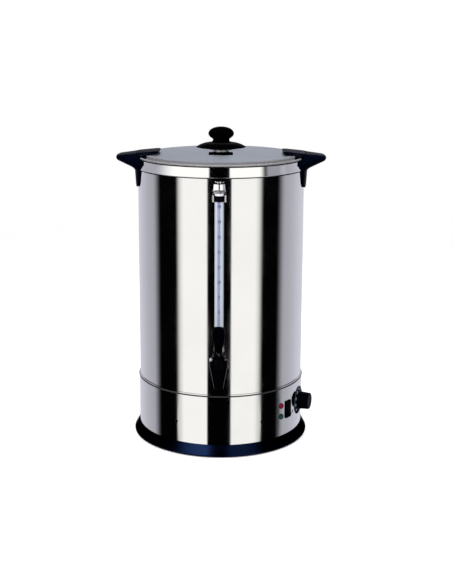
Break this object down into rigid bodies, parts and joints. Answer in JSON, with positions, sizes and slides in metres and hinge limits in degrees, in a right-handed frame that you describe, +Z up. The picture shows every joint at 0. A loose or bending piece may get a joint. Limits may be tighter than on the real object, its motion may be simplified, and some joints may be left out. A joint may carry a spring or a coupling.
{
  "type": "hot water urn",
  "caption": "Steel hot water urn with lift-off lid, two side handles, sight gauge above a lever tap, and heater, thermostat dial and switch in its base.",
  "frame": {"origin": "on the tank's axis, in the plane of the counter that the foot ring stands on", "axes": "+Z up along the tank's axis; the tap and gauge face -Y; the handles lie along X, the dial on the +X side"},
  "size_m": [0.3796, 0.3738, 0.5677],
  "materials": {
    "polished_steel": "mirror polished stainless",
    "plain_steel": "mill finish",
    "fastener_steel": "bright",
    "chrome_trim": "polished",
    "black_base": "gloss",
    "black_handle": "satin gloss",
    "black_tap": "gloss",
    "black_control": "satin",
    "rubber": "matt",
    "silicone": "matt",
    "gauge_glass": "clear, with an opal back",
    "lamp_red": "clear coloured lens",
    "lamp_green": "clear coloured lens",
    "heater_aluminium": "cast",
    "element_steel": "heat tinted",
    "copper": "drawn",
    "switch_resin": "matt",
    "reset_red": "gloss",
    "brass": "bright"
  },
  "bodies": {
    "root": {"tank_shell": "polished_steel", "tank_floor": "plain_steel", "rim_collar": "polished_steel", "tank_support_ring": "plain_steel", "lower_housing": "polished_steel", "base_ring": "black_base", "base_plate": "plain_steel", "foot_ring": "rubber", "tie_rods": "fastener_steel", "tie_nuts": "fastener_steel", "housing_brackets": "plain_steel", "housing_screws": "fastener_steel", "base_screws": "fastener_steel", "heater_plate": "heater_aluminium", "heating_element": "element_steel", "keep_warm_element": "element_steel", "thermostat": "switch_resin", "capillary_bulb": "copper", "cutout_switch": "switch_resin", "terminal_block": "switch_resin", "earth_stud": "brass", "cord_gland": "black_control", "gland_nut": "black_control", "switch_frame": "black_control", "lamp_lens_red": "lamp_red", "lamp_lens_green": "lamp_green", "lamp_holders": "black_control", "handle_left": "black_handle", "handle_right": "black_handle", "handle_screws": "fastener_steel", "tap_body": "black_tap", "tap_bonnet": "black_tap", "valve_spring": "fastener_steel", "tap_washers": "rubber", "shank_nut": "fastener_steel", "gauge_tube": "gauge_glass", "gauge_lower_seal": "rubber", "gauge_upper_seal": "rubber", "gauge_top_fitting": "chrome_trim", "gauge_cap": "chrome_trim", "gauge_bracket": "chrome_trim"},
    "lid": {"lid": "polished_steel", "lid_spigot": "plain_steel", "lid_knob": "black_handle", "knob_spacer": "polished_steel", "knob_foot": "black_handle", "knob_screw": "fastener_steel", "lid_lug_left": "black_handle", "lid_lug_right": "black_handle", "lug_screws": "fastener_steel"},
    "valve_stem": {"valve_stem": "fastener_steel", "seat_cup": "silicone"},
    "tap_lever": {"tap_lever": "black_tap", "lever_pin": "fastener_steel"},
    "dial": {"dial_knob": "black_control", "dial_shaft": "fastener_steel"},
    "rocker": {"switch_rocker": "black_control"},
    "reset_button": {"reset_button": "reset_red"}
  },
  "joints": [
    {"name": "lid_lift", "type": "slide", "parent": "root", "child": "lid", "axis": [0, 0, 1], "range_m": [0, 0.15]},
    {"name": "stem_lift", "type": "slide", "parent": "root", "child": "valve_stem", "axis": [0, 0, 1], "range_m": [0, 0.00305], "stiffness_N_per_m": 800, "springref_m": -0.003, "deforming": ["valve_spring"]},
    {"name": "lever_pull", "type": "hinge", "parent": "valve_stem", "child": "tap_lever", "pos_m": [0, -0.19, 0.205], "axis": [1, 0, 0], "range_deg": [0, 35]},
    {"name": "dial_turn", "type": "hinge", "parent": "root", "child": "dial", "pos_m": [0.14365, -0.05059, 0.0713], "axis": [0.9432, -0.3322, 0], "range_deg": [-270, 0]},
    {"name": "rocker_tilt", "type": "hinge", "parent": "root", "child": "rocker", "pos_m": [0.12245, -0.08702, 0.0668], "axis": [0.5793, 0.8151, 0], "range_deg": [0, 16]},
    {"name": "reset_push", "type": "slide", "parent": "root", "child": "reset_button", "axis": [0, 0, 1], "range_m": [0, 0.002], "stiffness_N_per_m": 300, "springref_m": -0.001}
  ],
  "couplings": [
    {"joint": "lever_pull", "follows": "stem_lift", "rad_per_m": 200}
  ]
}
